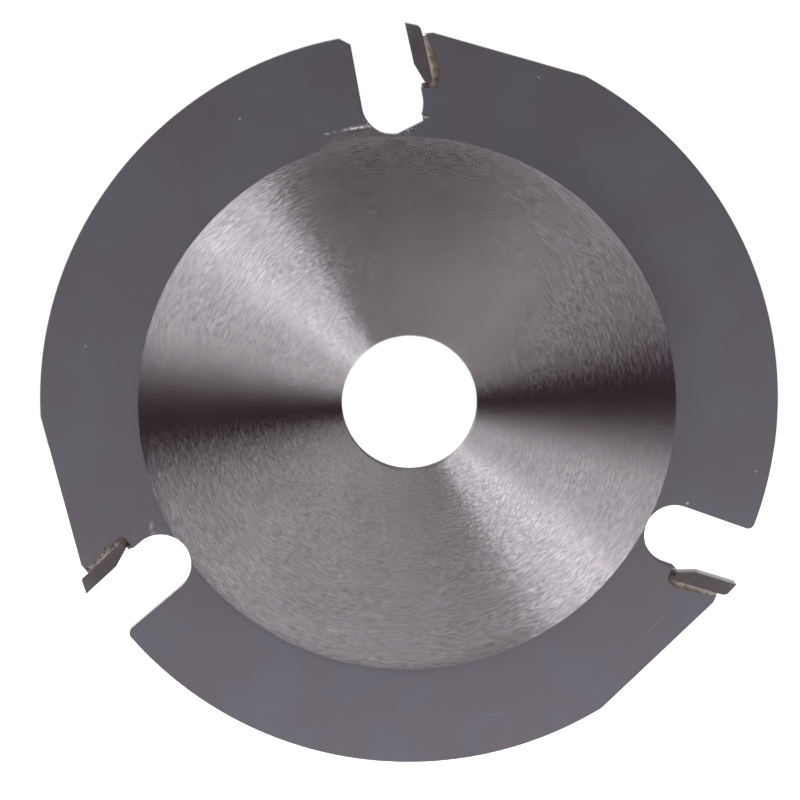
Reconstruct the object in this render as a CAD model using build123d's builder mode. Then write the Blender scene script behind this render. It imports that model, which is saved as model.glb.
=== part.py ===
"""Carving disc for an angle grinder: a steel plate with three brazed carbide tips.

Units are millimetres. The disc stands upright, the way it runs on a grinder held
sideways: the spin axis lies along Y, +Z is up, and the origin is the middle of the
bore, on the plate's mid-plane. The front face looks towards -Y. Angles are measured
in the XZ plane, counter-clockwise as the front face is looked at, from +X. Seen so,
the disc turns counter-clockwise, and each tip leads the part of the plate behind it.
"""

import math
import os

from build123d import *

# Plate
bore_diameter = 22.23
rim_diameter = 121.2
plate_thickness = 2.5
edge_break = 0.12
bore_chamfer = 0.15

# Ground zone: a shallow turned relief on both faces, slightly off the bore's centre
ground_diameter = 88.4
ground_depth = 0.1
ground_step_width = 0.3
ground_offset = (-0.35, -0.5)

# Teeth: how many, and where the first one's features lie
tooth_count = 3
tooth_pitch = 360 / tooth_count
tip_angle = 90.7

# Land behind each tip, ground straight across the rim
land_distance = 59.22
land_angle = 74.2

# Gullet in front of each tip: a round-ended slot
gullet_radius = 5.0
gullet_centre_radius = 49.13
gullet_centre_angle = 93.2
gullet_direction = 100.3
heel_radius = 1.1

# Carbide tip
cutting_diameter = 124.2
hook_angle = 12.0
clearance_angle = 12.0
tip_length = 10.2
tip_thickness = 2.35
tip_width = 3.8
bevel_start = 6.8
bevel_angle = 18.5
inner_end_radius = 0.5
heel_rounding = 0.8
tip_edge_chamfer = 0.15

# Braze between a tip and its seat
braze_gap = 0.35
floor_gap = 0.45
bead_width = 0.6
bead_height = 0.5
bead_setback = 1.0

# The disc's sketches are drawn as its front face is looked at, and the relief's section
# across the thickness, with its own origin on the ground zone's centre
disc_plane = Plane.XZ
ground_plane = Plane(origin=(ground_offset[0], 0, ground_offset[1]), z_dir=(0, 0, 1))
half_thickness = plate_thickness / 2
ground_radius = ground_diameter / 2
ground_face = half_thickness - ground_depth


def polar(radius, angle):
    """A point of the disc plane's own X and Y, from its radius and angle."""
    return Vector(radius * math.cos(math.radians(angle)), radius * math.sin(math.radians(angle)))


# First tooth's tip, in the disc plane. Its local X runs inwards along the rake face
# and its local Y runs from the rake face to the tip's back.
rake_direction = tip_angle - 180 + hook_angle
rake_inward = polar(1, rake_direction)
rake_to_back = polar(1, rake_direction + 90)
cutting_corner = polar(cutting_diameter / 2, tip_angle)
floor_depth = tip_length + floor_gap
seat_back_depth = tip_thickness + braze_gap


def from_tip(inward, back):
    """The disc-plane point at a distance inwards and back from the cutting corner."""
    return cutting_corner + rake_inward * inward + rake_to_back * back


def tip_frame(tooth):
    """The plane of one tooth's tip, with its origin at the cutting corner."""
    turn = tooth * tooth_pitch
    corner = polar(cutting_diameter / 2, tip_angle + turn)
    inward = polar(1, rake_direction + turn)
    return Plane(origin=(corner.X, 0, corner.Y), x_dir=(inward.X, 0, inward.Y), z_dir=(0, -1, 0))


# Gullet and tip seat of the first tooth, one closed outline that is cut from the plate
gullet_centre = polar(gullet_centre_radius, gullet_centre_angle)
gullet_outward = polar(1, gullet_direction)
gullet_across = polar(1, gullet_direction - 90)
heel_tangent = gullet_centre - gullet_across * gullet_radius
gullet_bottom = gullet_centre - gullet_outward * gullet_radius
seat_tangent = gullet_centre + gullet_across * gullet_radius
past_rim = rim_diameter / 2 - gullet_centre_radius + 2 * gullet_radius
tangent_depth = (seat_tangent - cutting_corner).dot(rake_inward)
ledge_rise = (floor_depth - tangent_depth) / gullet_outward.dot(rake_inward)
seat_ledge = seat_tangent + gullet_outward * ledge_rise

with BuildSketch() as tooth_cut:
    with BuildLine():
        Line(heel_tangent + gullet_outward * past_rim, heel_tangent)
        ThreePointArc(heel_tangent, gullet_bottom, seat_tangent)
        Polyline(
            seat_tangent,
            seat_ledge,
            from_tip(floor_depth, seat_back_depth),
            from_tip(-gullet_radius, seat_back_depth),
            heel_tangent + gullet_outward * past_rim,
        )
    make_face()

# Straight land: everything of the rim that lies beyond the chord
with BuildSketch() as land_cut:
    with Locations(Location(polar(land_distance, land_angle), (0, 0, 1), land_angle)):
        Rectangle(rim_diameter / 2, rim_diameter / 2, align=(Align.MIN, Align.CENTER))

with BuildSketch() as plate_outline:
    Circle(rim_diameter / 2)
    with PolarLocations(0, tooth_count):
        add(land_cut.sketch, mode=Mode.SUBTRACT)
        add(tooth_cut.sketch, mode=Mode.SUBTRACT)
    heel_side = heel_tangent + gullet_outward * (rim_diameter / 2 - gullet_centre_radius)
    heel_points = [heel_side.rotate(Axis.Z, tooth * tooth_pitch) for tooth in range(tooth_count)]
    heel_corners = [
        min(vertices(), key=lambda corner: (corner.center() - point).length) for point in heel_points
    ]
    fillet(heel_corners, heel_radius)
    Circle(bore_diameter / 2, mode=Mode.SUBTRACT)

# Plate: outline, broken edges, ground relief on both faces, chamfered bore
with BuildPart() as blade_body:
    with BuildSketch(disc_plane):
        add(plate_outline.sketch)
    extrude(amount=half_thickness, both=True)
    face_rims = [
        edge
        for face in faces().filter_by(Axis.Y).sort_by(Axis.Y)
        for edge in face.outer_wire().edges()
    ]
    chamfer(face_rims, edge_break)
    with BuildSketch(ground_plane):
        for side in (1, -1):
            with BuildLine():
                Polyline(
                    (0, side * plate_thickness),
                    (0, side * ground_face),
                    (ground_radius - ground_step_width, side * ground_face),
                    (ground_radius, side * half_thickness),
                    (ground_radius, side * plate_thickness),
                    close=True,
                )
            make_face()
    revolve(axis=Axis(ground_plane.origin, ground_plane.y_dir), mode=Mode.SUBTRACT)
    bore_rims = edges().filter_by(GeomType.CIRCLE).filter_by(
        lambda edge: abs(edge.radius - bore_diameter / 2) < edge_break
    )
    chamfer(bore_rims, bore_chamfer)
blade_body.part.label = "blade_body"

# Carbide tip: rake face, bevelled inner end, relieved outer end with a rounded heel
bevel_length = tip_length - bevel_start
bevel_drop = bevel_length * math.tan(math.radians(bevel_angle))
outer_drop = tip_thickness * math.tan(math.radians(hook_angle + clearance_angle))

with BuildSketch() as tip_profile:
    with BuildLine():
        Polyline(
            (0, 0),
            (bevel_start, 0),
            (tip_length, bevel_drop),
            (tip_length, tip_thickness),
            (outer_drop, tip_thickness),
            close=True,
        )
    make_face()
    inner_corner = vertices().sort_by_distance((tip_length, bevel_drop))[0]
    fillet(inner_corner, inner_end_radius)
    outer_heel = vertices().sort_by_distance((outer_drop, tip_thickness))[0]
    fillet(outer_heel, heel_rounding)

# Braze: what the molten filler fills between the tip and its seat
ledge_back = (seat_ledge - cutting_corner).dot(rake_to_back)

with BuildSketch() as braze_profile:
    with BuildLine():
        Polyline(
            (outer_drop + bead_setback, tip_thickness - braze_gap),
            (outer_drop + bead_setback, seat_back_depth),
            (floor_depth, seat_back_depth),
            (floor_depth, ledge_back),
            (tip_length - inner_end_radius, bevel_drop - inner_end_radius),
            (tip_length - inner_end_radius, tip_thickness - braze_gap),
            close=True,
        )
    make_face()
    add(tip_profile.sketch, mode=Mode.SUBTRACT)

carbide_tips = []
braze_joints = []
for tooth in range(tooth_count):
    frame = tip_frame(tooth)

    with BuildPart() as carbide_tip:
        with BuildSketch(frame):
            add(tip_profile.sketch)
        extrude(amount=tip_width / 2, both=True)
        side_edges = [
            edge for face in faces().filter_by(Axis.Y) for edge in face.outer_wire().edges()
        ]
        chamfer(side_edges, tip_edge_chamfer)
    carbide_tip.part.label = f"carbide_tip_{tooth + 1}"
    carbide_tips.append(carbide_tip.part)

    # Across the bead: its section stands on the plate's face, against the tip's back
    with BuildPart() as braze_joint:
        with BuildSketch(frame):
            add(braze_profile.sketch)
        extrude(amount=half_thickness, both=True)
        bead_start = frame.from_local_coords((outer_drop + bead_setback, tip_thickness, 0))
        bead_plane = Plane(origin=bead_start, x_dir=frame.y_dir, z_dir=frame.x_dir)
        with BuildSketch(bead_plane):
            for side in (1, -1):
                with BuildLine():
                    Polyline(
                        (0, side * half_thickness),
                        (0, side * (half_thickness + bead_height)),
                        (braze_gap + bead_width, side * half_thickness),
                        close=True,
                    )
                make_face()
        extrude(amount=tip_length - outer_drop - bead_setback)
    braze_joint.part.label = f"braze_joint_{tooth + 1}"
    braze_joints.append(braze_joint.part)

os.makedirs("parts", exist_ok=True)
export_step(blade_body.part, "parts/blade_body.step")
for tip in carbide_tips + braze_joints:
    export_step(tip, f"parts/{tip.label}.step")
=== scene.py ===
"""Looks of the carving disc: plate, carbide tips, braze beads, and a plain pale studio.

Lengths are metres. The frame stands the disc upright: the spin axis is Y, the front
face looks towards -Y, +Z is up. A point of the disc plane is (x, z); angles in it run
counter-clockwise from +X as the front face is looked at.
"""

import math

import bmesh
import bpy
import numpy as np
from bpy.props import FloatProperty, FloatVectorProperty, IntProperty, PointerProperty
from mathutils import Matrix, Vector
from mathutils.geometry import delaunay_2d_cdt


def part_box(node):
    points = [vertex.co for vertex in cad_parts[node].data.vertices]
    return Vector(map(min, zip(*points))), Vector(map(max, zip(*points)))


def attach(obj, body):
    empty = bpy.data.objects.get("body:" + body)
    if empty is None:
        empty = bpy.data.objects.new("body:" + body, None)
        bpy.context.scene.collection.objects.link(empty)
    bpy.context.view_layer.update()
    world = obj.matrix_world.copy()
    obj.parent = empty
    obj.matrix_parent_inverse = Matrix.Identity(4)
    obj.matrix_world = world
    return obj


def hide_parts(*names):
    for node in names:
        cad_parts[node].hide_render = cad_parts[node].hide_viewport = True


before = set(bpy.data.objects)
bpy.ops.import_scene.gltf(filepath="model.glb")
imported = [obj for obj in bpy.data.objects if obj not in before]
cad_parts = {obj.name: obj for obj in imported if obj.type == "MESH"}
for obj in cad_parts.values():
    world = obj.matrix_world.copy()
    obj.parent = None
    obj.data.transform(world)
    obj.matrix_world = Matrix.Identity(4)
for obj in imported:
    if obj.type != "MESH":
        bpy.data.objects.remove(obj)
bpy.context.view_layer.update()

bl_info = {
    "name": "Carving Disc",
    "version": (1, 0, 0),
    "blender": (4, 5, 0),
    "location": "View3D > Sidebar > Carving Disc",
    "description": "Builds a three-tip carving disc and its studio around the packed model",
    "category": "Object",
}

MM = 0.001
TOOTH_COUNT = 3
TOOTH_PITCH = 360 / TOOTH_COUNT
# Radius of each tip's outer heel, in mm
HEEL_ROUNDING = (1.15, 0.5, 1.2)
# Small rubbed marks on the satin face: x, z, tilt in degrees, length, width in mm, strength
SCUFFS = (
    (-42.6, -20.4, 80, 1.1, 0.45, 0.30), (-42.3, -21.6, 10, 0.6, 0.35, 0.25),
    (45.9, -16.8, 20, 0.35, 0.30, 0.90), (57.2, -11.5, 70, 0.25, 0.22, 0.60),
    (48.6, -24.2, 35, 0.8, 0.30, 0.25), (40.5, -37.6, 50, 4.5, 0.16, 0.10),
    (2.3, 51.75, 20, 0.3, 0.2, 0.8), (-27.5, 46.6, 40, 0.3, 0.25, 0.50),
    (3.1, 52.2, 100, 0.7, 0.2, 0.10), (14.5, -52.4, 5, 2.2, 0.14, 0.10),
    (-53.0, 9.5, 95, 0.3, 0.22, 0.35),
)
# The nick in the first gullet, as radii in mm and degrees about the gullet's centre, how
# ragged its bottom is in mm, and its heel's chamfer: down the gullet in mm, along the rim
# in degrees
NICK = ((5.22, 5.75), (-21, -30))
RAGGED_HEIGHT = 0.05
CHAMFER = (1.3, 1.6)
# The burr beside the first gullet, and a short scratch: heights and place in mm
BURR_HEIGHT = 0.13
SCRATCH_HEIGHT = 0.07
SCRATCH_PLACE = (2.67, 46.92)
# The ring's ground steel runs on beside the first gullet, up to these angles and radii in mm
TONGUE = ((92, 103, 106, 109.5), (45.93, 45.93, 45.2, 44.0))
# Painted shade: a soft darker patch on the ground ring, in the same order
RING_PAINTED_SHADE = ((0.5, 38, 0, 26, 18, 0.26),)
# Small pits: x, z, tilt in degrees, length, width in mm, strength
PITS = (
    (2.81, 47.25, 5, 0.32, 0.14, 0.85), (4.5, 51.7, 15, 0.36, 0.12, 0.75),
    (4.95, 51.82, 20, 0.3, 0.08, 0.4),
)
# Share of the full bead width at each tooth, and the height of its lumps in mm
BRAZE_WIDTH = (1.0, 0.62, 0.85)
BRAZE_ROUGHNESS = (0.03, 0.06, 0.04)
# How silvery each bead is, how much burnt flux lies on it, and how bright it is
BRAZE_LOOK = ((0.1, 0.3, 0.95), (0.75, 1.0, 0.8), (0.0, 0.6, 0.68))
# How the bead swells along its way: place along it, share of the full width
BEAD_SWELL = (
    (0, 0.2), (0.12, 0.3), (0.26, 0.62), (0.4, 0.9), (0.55, 1.0), (0.68, 0.92), (0.78, 0.62),
    (0.86, 0.4), (1, 0.3),
)
# Reach from the mirror line, as a sine, over which the panels brighten and then fade
NEAR_REACH = (0.35, 0.50)
FAR_REACH = (0.60, 0.80)
OVERHEAD_PLACE = (0, 0.25, 1.1)
OVERHEAD_SIZE = 0.9
CAMERA_SHIFT = (-0.0118, 0.0039)
PLATE_LOW, PLATE_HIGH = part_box("blade_body")
TIP_LOW, TIP_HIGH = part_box("carbide_tip_1")


# ---------------------------------------------------------------- sizes and finishes

def length(name, description, default):
    """A length property in metres."""
    return FloatProperty(name=name, description=description, default=default, unit="LENGTH",
                         precision=5, min=0)


def number(name, description, default, **limits):
    """A plain number property."""
    return FloatProperty(name=name, description=description, default=default, **limits)


def colour(name, description, default):
    """A linear colour property."""
    return FloatVectorProperty(name=name, description=description, default=default, size=3,
                               subtype="COLOR", min=0, max=1)


class DiscSize(bpy.types.PropertyGroup):
    """Sizes of the plate, the teeth and the braze."""

    plate_thickness: length("Plate thickness", "Across the plate outside the ground ring",
                            PLATE_HIGH.y - PLATE_LOW.y)
    rim_radius: length("Rim radius", "Plate's own radius", (PLATE_HIGH.x - PLATE_LOW.x) / 2)
    bore_radius: length("Bore radius", "Radius of the spindle hole", 11.115 * MM)
    edge_round: length("Edge round", "Radius of the plate's broken edges", 0.12 * MM)
    ring_radius: length("Ground ring radius", "Outer radius of the ground ring", 44.2 * MM)
    ring_depth: length("Ground ring depth", "How far the ring lies below the face", 0.02 * MM)
    ring_step: length("Ground ring step", "Width of the slope at the ring's edge", 0.3 * MM)
    ring_offset: FloatVectorProperty(name="Ground ring offset", size=2, unit="LENGTH", precision=5,
                                     description="Ring's centre from the bore's, in X and Z",
                                     default=(-0.35 * MM, -0.5 * MM))
    land_distance: length("Land distance", "Bore axis to the straight land", 59.22 * MM)
    land_angle: number("Land angle", "Degrees to the first land's square foot", 74.2)
    gullet_radius: length("Gullet radius", "Radius of the gullet's round end", 5.0 * MM)
    gullet_centre_radius: length("Gullet centre radius", "Bore axis to the round end's centre",
                                 49.13 * MM)
    gullet_centre_angle: number("Gullet centre angle", "Degrees to the first gullet's round end", 93.2)
    gullet_direction: number("Gullet direction", "Degrees of the first gullet's way out", 100.3)
    heel_radius: length("Heel radius", "Rounded corner in front of each gullet", 1.1 * MM)
    cutting_radius: length("Cutting radius", "Bore axis to the cutting edges", 62.1 * MM)
    tip_angle: number("Tip angle", "Degrees to the first cutting edge", 90.7)
    hook_angle: number("Hook angle", "Degrees that the rake face leans forwards", 12.0)
    clearance_angle: number("Clearance angle", "Degrees that the tip's top falls away", 12.0)
    tip_width: length("Tip width", "Across the tip, along the spin axis", TIP_HIGH.y - TIP_LOW.y)
    tip_length: length("Tip length", "Cutting edge to the tip's inner end", 10.2 * MM)
    tip_thickness: length("Tip thickness", "Rake face to the tip's back", 2.35 * MM)
    bevel_start: length("Bevel start", "Cutting edge to the rake face's bevel", 6.8 * MM)
    bevel_angle: number("Bevel angle", "Degrees that the inner bevel falls back", 18.5)
    braze_gap: length("Braze gap", "Filler behind the tip", 0.35 * MM)
    floor_gap: length("Floor gap", "Filler under the tip's inner end", 0.45 * MM)
    bead_width: length("Bead width", "Braze bead's widest reach over the plate", 0.95 * MM)
    bead_height: length("Bead height", "Braze bead's height above the plate", 0.42 * MM)
    mark_seed: IntProperty(name="Mark seed", default=7, min=0,
                           description="Seed of the lumps and small marks")


class DiscFinish(bpy.types.PropertyGroup):
    """Colours of the disc's finishes."""

    ring_steel: colour("Ring steel", "Steel ground in rings round the bore", (0.473, 0.445, 0.474))
    ring_steel_cool: colour("Cool ring steel", "Its cooler clouds", (0.464, 0.449, 0.472))
    satin_steel: colour("Satin steel", "Grey satin face outside the ring", (0.151, 0.137, 0.156))
    # Painted light: the satin steel's colour grows paler towards the bottom and the right, standing in for
    # how the light falls
    satin_painted_light: FloatVectorProperty(name="Satin drift", default=(1.3, 0, -2.5),
                                     description="How the satin steel pales, per metre")
    satin_steel_cool: colour("Cool satin steel", "Its cooler clouds", (0.145, 0.1385, 0.162))
    cut_steel: colour("Cut steel", "Rim, gullet and bore walls", (0.070, 0.065, 0.070))
    bright_steel: colour("Bright steel", "Burrs and worn edges", (0.62, 0.60, 0.62))
    heat_tint: colour("Heat tint", "Steel beside the filler", (0.183, 0.165, 0.213))
    carbide: colour("Carbide", "Sintered sides of the tips", (0.106, 0.096, 0.104))
    carbide_stain: colour("Carbide stain", "Tips towards the filler", (0.118, 0.090, 0.095))
    ground_carbide: colour("Ground carbide", "Rake, bevel and top faces", (0.300, 0.285, 0.320))
    braze: colour("Braze", "Solidified filler", (0.160, 0.132, 0.086))
    braze_pale: colour("Pale braze", "Silvery crests of the filler", (0.390, 0.355, 0.325))
    braze_red: colour("Red braze", "Filler near the seat's corner", (0.100, 0.067, 0.056))
    flux: colour("Flux", "Burnt flux in the filler's pits", (0.010, 0.008, 0.007))
    floor: colour("Floor", "Studio floor", (0.90, 0.90, 0.90))


class StudioSettings(bpy.types.PropertyGroup):
    """Camera and lights."""

    focal_length: number("Focal length", "Millimetres on a 36 mm sensor", 148.4)
    camera_distance: length("Camera distance", "Bore's front edge to the camera", 541.6 * MM)
    camera_lean: FloatVectorProperty(name="Camera lean", size=2, default=(-0.0112, 0.1454),
                                     description="Sines of the camera's way off the spin axis, X and Z")
    floor_drop: length("Floor drop", "Bore axis down to the floor", 150 * MM)
    floor_radius: length("Floor radius", "Radius of the round floor", 900 * MM)
    overhead_power: number("Overhead power", "Watts of the overhead panel", 34.0, min=0)
    room_power: number("Room power", "Strength of the room's soft panels", 15.4, min=0)
    far_share: number("Far share", "Share of the panels' light far from the line", 0.13, min=0,
                      max=1)
    backdrop: number("Backdrop", "Strength of the pale wall behind the disc", 0.72, min=0)
    fill: colour("Fill", "Glow of the room between the panels", (0.027, 0.007, 0.016))


# ---------------------------------------------------------------- plane geometry

def polar(radius, angle):
    """The plane point(s) at a radius and an angle in degrees: (r cos a, r sin a)."""
    turn = np.radians(angle)
    return np.stack([radius * np.cos(turn), radius * np.sin(turn)], axis=-1)


def angles(points):
    """Each plane point's angle in degrees about the bore axis: atan2(z, x)."""
    return np.degrees(np.arctan2(points[..., 1], points[..., 0]))


def arc(centre, radius, start, end, spacing):
    """Points on a circle about centre from one angle to another, about spacing apart."""
    count = max(2, int(abs(math.radians(end - start)) * radius / spacing) + 1)
    return centre + polar(radius, np.linspace(start, end, count + 1))


def turned(points, angle):
    """Points turned about the bore axis: (x cos a - z sin a, x sin a + z cos a)."""
    c, s = math.cos(math.radians(angle)), math.sin(math.radians(angle))
    return points @ np.array([[c, s], [-s, c]])


def cross(a, b):
    """Signed area spanned by plane vectors: ax bz - az bx."""
    return a[..., 0] * b[..., 1] - a[..., 1] * b[..., 0]


def meet(point, along, other, other_along):
    """Where two lines cross, each given by a point and a direction."""
    return point + along * (cross(other - point, other_along) / cross(along, other_along))


def rounded_corner(before, corner, after, radius, count=6):
    """An arc of a radius that touches both legs of a corner, as count + 1 points."""
    leg_in, leg_out = before - corner, after - corner
    leg_in, leg_out = leg_in / np.linalg.norm(leg_in), leg_out / np.linalg.norm(leg_out)
    half = math.acos(np.clip(leg_in @ leg_out, -1, 1)) / 2
    middle = (leg_in + leg_out) / np.linalg.norm(leg_in + leg_out)
    centre = corner + middle * radius / math.sin(half)
    start, end = corner + leg_in * radius / math.tan(half), corner + leg_out * radius / math.tan(half)
    first = math.degrees(math.atan2(*(start - centre)[::-1]))
    sweep = (math.degrees(math.atan2(*(end - centre)[::-1])) - first + 180) % 360 - 180
    return centre + polar(radius, first + sweep * np.linspace(0, 1, count + 1))


def filled(points, spacing):
    """The same closed path with extra points on its long edges, at most spacing apart."""
    step = np.roll(points, -1, axis=0) - points
    counts = np.maximum(1, np.ceil(np.hypot(*step.T) / spacing).astype(int))
    index = np.repeat(np.arange(len(points)), counts)
    part = np.arange(len(index)) - np.repeat(np.cumsum(counts) - counts, counts)
    return points[index] + step[index] * (part / counts[index])[:, None]


def inset(points, distance):
    """A closed counter-clockwise path moved inwards: each point along the mean of its two
    edges' inward normals, divided by their cosine so that the edges keep the distance."""
    step = np.roll(points, -1, axis=0) - points
    normal = np.stack([-step[:, 1], step[:, 0]], axis=1) / np.hypot(*step.T)[:, None]
    mean = normal + np.roll(normal, 1, axis=0)
    mean /= np.hypot(*mean.T)[:, None]
    return points + mean * (distance / np.sum(mean * normal, axis=1).clip(0.4))[:, None]


def inside(points, loop):
    """True for each point that a closed loop goes round, by counting edges to its right."""
    ends = np.roll(loop, -1, axis=0)
    px, pz = points[:, :1], points[:, 1:]
    straddles = (loop[:, 1] > pz) != (ends[:, 1] > pz)
    rise = np.where(ends[:, 1] == loop[:, 1], 1, ends[:, 1] - loop[:, 1])
    crossing = loop[:, 0] + (pz - loop[:, 1]) / rise * (ends[:, 0] - loop[:, 0])
    return (np.sum(straddles & (px < crossing), axis=1) % 2).astype(bool)


def clear_of(points, others, distance):
    """True for each point that is at least a distance from every one of the others."""
    gap = np.linalg.norm(points[:, None] - others[None], axis=2).min(axis=1)
    return gap >= distance


# ---------------------------------------------------------------- the tooth's layout

class Tooth:
    """The first tooth's lines and corners in the disc plane, from the sizes. Tooth
    coordinates run inwards along the rake face from the cutting edge, and back from it."""

    def __init__(self, size):
        inward_angle = size.tip_angle - 180 + size.hook_angle
        self.inward = polar(1, inward_angle)
        self.back = polar(1, inward_angle + 90)
        self.edge = polar(size.cutting_radius, size.tip_angle)
        self.floor_depth = size.tip_length + size.floor_gap
        self.seat_depth = size.tip_thickness + size.braze_gap
        self.outer_drop = size.tip_thickness * math.tan(math.radians(size.hook_angle
                                                                     + size.clearance_angle))
        self.bevel_drop = ((size.tip_length - size.bevel_start)
                           * math.tan(math.radians(size.bevel_angle)))
        self.gullet_centre = polar(size.gullet_centre_radius, size.gullet_centre_angle)
        self.outward = polar(1, size.gullet_direction)
        self.across = polar(1, size.gullet_direction - 90)
        self.seat_tangent = self.gullet_centre + self.across * size.gullet_radius
        self.heel_tangent = self.gullet_centre - self.across * size.gullet_radius
        self.seat_corner = self.point(self.floor_depth, self.seat_depth)
        self.ledge = meet(self.seat_corner, self.back, self.seat_tangent, self.outward)
        half_land = math.degrees(math.acos(size.land_distance / size.rim_radius))
        self.land_start = size.land_angle - half_land
        self.land_far = polar(size.rim_radius, self.land_start)
        self.land_near = polar(size.rim_radius, size.land_angle + half_land)
        along_rim = polar(1, size.land_angle + half_land + 90)
        self.seat_top = meet(self.land_near, along_rim, self.seat_corner, self.inward)
        self.seat_top = self.seat_top + 0.3 * MM * self.inward
        rise = along_to_circle(self.heel_tangent, self.outward, size.rim_radius)
        self.heel_square = self.heel_tangent + self.outward * rise

    def point(self, inward, back):
        """The plane point at distances inwards and back from the cutting edge."""
        inward, back = np.asarray(inward, float), np.asarray(back, float)
        return self.edge + inward[..., None] * self.inward + back[..., None] * self.back

    def depths(self, point):
        """A plane point's distances inwards and back from the cutting edge."""
        return (point - self.edge) @ self.inward, (point - self.edge) @ self.back


def plate_outline(size):
    """The plate's closed outline, counter-clockwise: for each tooth the straight land,
    the seat, the ledge, the round gullet, the rounded heel and the rim to the next land.
    The first tooth's cutter slipped: its gullet has a small sharp nick on the seat's side
    and a ragged bottom, and its heel is chamfered."""
    tooth = Tooth(size)
    spacing = 0.4 * MM
    heel_angle = math.degrees(math.atan2(tooth.heel_square[1], tooth.heel_square[0]))
    sectors = []
    for index in range(TOOTH_COUNT):
        slipped = index == 0
        first, last = size.gullet_direction - 90, size.gullet_direction - 270
        if slipped:
            nick = tooth.gullet_centre + polar(np.array(NICK[0]) * MM, np.array(NICK[1]))
            bottom = arc(tooth.gullet_centre, size.gullet_radius, -80, last, 0.13 * MM)
            ragged = RAGGED_HEIGHT * MM * waves(bottom, size.mark_seed, 0.5 * MM)
            ragged *= np.clip(1 - np.abs(np.linspace(-80, last, len(bottom)) + 105) / 28, 0, 1)
            bottom += (bottom - tooth.gullet_centre) / size.gullet_radius * ragged[:, None]
            gullet = np.concatenate([arc(tooth.gullet_centre, size.gullet_radius, first, -20, spacing),
                                     nick, bottom])
            chamfer_start = tooth.heel_square - CHAMFER[0] * MM * tooth.outward
            chamfer_end = polar(size.rim_radius, heel_angle + CHAMFER[1])
            rim_start = heel_angle + 2 * CHAMFER[1]
            heel = np.concatenate([
                rounded_corner(tooth.heel_tangent, chamfer_start, chamfer_end, 0.4 * MM),
                rounded_corner(chamfer_start, chamfer_end, polar(size.rim_radius, rim_start),
                               0.5 * MM)])
        else:
            gullet = arc(tooth.gullet_centre, size.gullet_radius, first, last, spacing)
            rim_start = heel_angle + math.degrees(2.5 * size.heel_radius / size.rim_radius)
            heel = rounded_corner(tooth.heel_tangent, tooth.heel_square,
                                  polar(size.rim_radius, rim_start), size.heel_radius, 10)
        rim = arc(np.zeros(2), size.rim_radius, rim_start, tooth.land_start + TOOTH_PITCH, spacing)
        sector = np.concatenate([
            tooth.land_far[None],
            rounded_corner(tooth.land_far, tooth.land_near, tooth.seat_top, 0.3 * MM),
            tooth.seat_top[None],
            rounded_corner(tooth.seat_top, tooth.seat_corner, tooth.ledge, 0.3 * MM),
            rounded_corner(tooth.seat_corner, tooth.ledge, tooth.seat_tangent, 0.25 * MM),
            gullet, heel, rim[:-1]])
        sectors.append(turned(sector, TOOTH_PITCH * index))
    return filled(np.concatenate(sectors), spacing)


def along_to_circle(point, along, radius):
    """How far a point travels along a unit direction before it meets a circle about the
    bore axis: the larger root of |p + t d| = r."""
    b = float(point @ along)
    return -b + math.sqrt(b * b - float(point @ point) + radius * radius)


# ---------------------------------------------------------------- meshes

def waves(points, seed, size, count=14):
    """A smooth lumpy value between about -1 and 1 at each point: the mean of sines that run
    in seeded random directions, with wavelengths round a size."""
    draw = np.random.default_rng(seed)
    direction = draw.normal(size=(count, points.shape[-1]))
    direction /= np.linalg.norm(direction, axis=1)[:, None]
    number = 2 * math.pi / (size * draw.uniform(0.6, 1.8, count))
    phase = draw.uniform(0, 2 * math.pi, count)
    total = np.sin(points @ (direction * number[:, None]).T + phase).sum(axis=-1)
    return total * 1.6 / math.sqrt(count) / 1.4


def edge_rows(loop, round_radius, half_width):
    """Rows of an edge from the front cap to the back cap: a support row, a quarter round,
    the wall, a quarter round and a support row. half_width gives the half thickness at
    plane points, so each row's Y is minus or plus that width less the round's depth."""
    bend = np.linspace(0, math.pi / 2, 5)
    insets = np.concatenate([[1.5], 1 - np.sin(bend)]) * round_radius
    depths = np.concatenate([[0.0], 1 - np.cos(bend)]) * round_radius
    plane = np.stack([inset(loop, distance) for distance in insets])
    width = half_width(plane.reshape(-1, 2)).reshape(plane.shape[:2])
    front = np.stack([plane[..., 0], depths[:, None] - width, plane[..., 1]], axis=-1)
    back = (front * (1, -1, 1))[::-1]
    return np.concatenate([front, back])


def grid_faces(rows, columns, start=0):
    """Quads of a grid whose columns run round and close on themselves."""
    r, c = np.meshgrid(np.arange(rows - 1), np.arange(columns), indexing="ij")
    right = (c + 1) % columns
    quads = np.stack([r * columns + c, r * columns + right, (r + 1) * columns + right,
                      (r + 1) * columns + c], axis=-1)
    return quads.reshape(-1, 4) + start


def cap(outer, holes, rings, extra):
    """Triangles over the region inside outer and outside holes, with edges along the rings
    and corners at the extra points. Returns the plane points and the triangles."""
    points, edges, start = [], [], 0
    closed = len(holes) + 1
    for number, chain in enumerate([outer, *holes, *rings]):
        index = np.arange(start, start + len(chain))
        last = len(chain) if number < closed else len(chain) - 1
        edges.append(np.stack([index, np.roll(index, -1)], axis=1)[:last])
        points.append(chain)
        start += len(chain)
    points = np.concatenate([*points, extra]) / MM
    made, _, triangles, *_ = delaunay_2d_cdt([Vector(p) for p in points],
                                             np.concatenate(edges).tolist(), [], 1, 1e-5)
    made = np.array([tuple(p) for p in made]) * MM
    triangles = np.array(triangles)
    middle = made[triangles].mean(axis=1)
    for hole in holes:
        outside = ~inside(middle, hole)
        triangles, middle = triangles[outside], middle[outside]
    return made, triangles


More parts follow.
